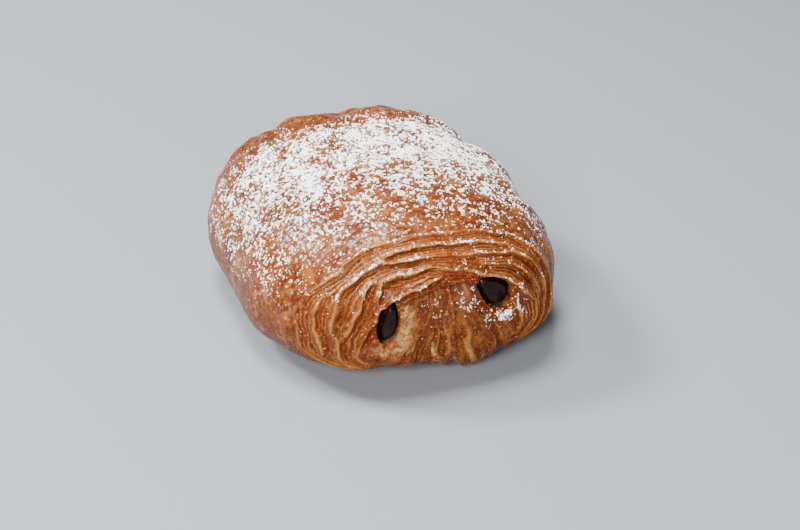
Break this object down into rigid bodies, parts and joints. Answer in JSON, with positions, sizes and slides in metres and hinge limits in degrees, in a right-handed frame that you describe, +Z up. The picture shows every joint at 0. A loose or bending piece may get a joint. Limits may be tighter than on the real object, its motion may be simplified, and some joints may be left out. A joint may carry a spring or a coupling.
{
  "type": "chocolate croissant",
  "caption": "Baked roll of laminated pastry dough with dark chocolate batons inside; the stepped dough layers and the chocolate show at both open ends",
  "frame": {"origin": "middle of the flat base the pastry rests on, under the middle of its bounding box", "axes": "+Z up; Y is the axis the dough is rolled round, with the front end facing -Y; X is across the roll"},
  "size_m": [0.0924, 0.1082, 0.0487],
  "materials": {
    "baked_crust": "satin",
    "dark_chocolate": "satin"
  },
  "bodies": {
    "root": {"pastry": "baked_crust", "chocolate_baton_left": "dark_chocolate", "chocolate_baton_right": "dark_chocolate"}
  },
  "joints": []
}
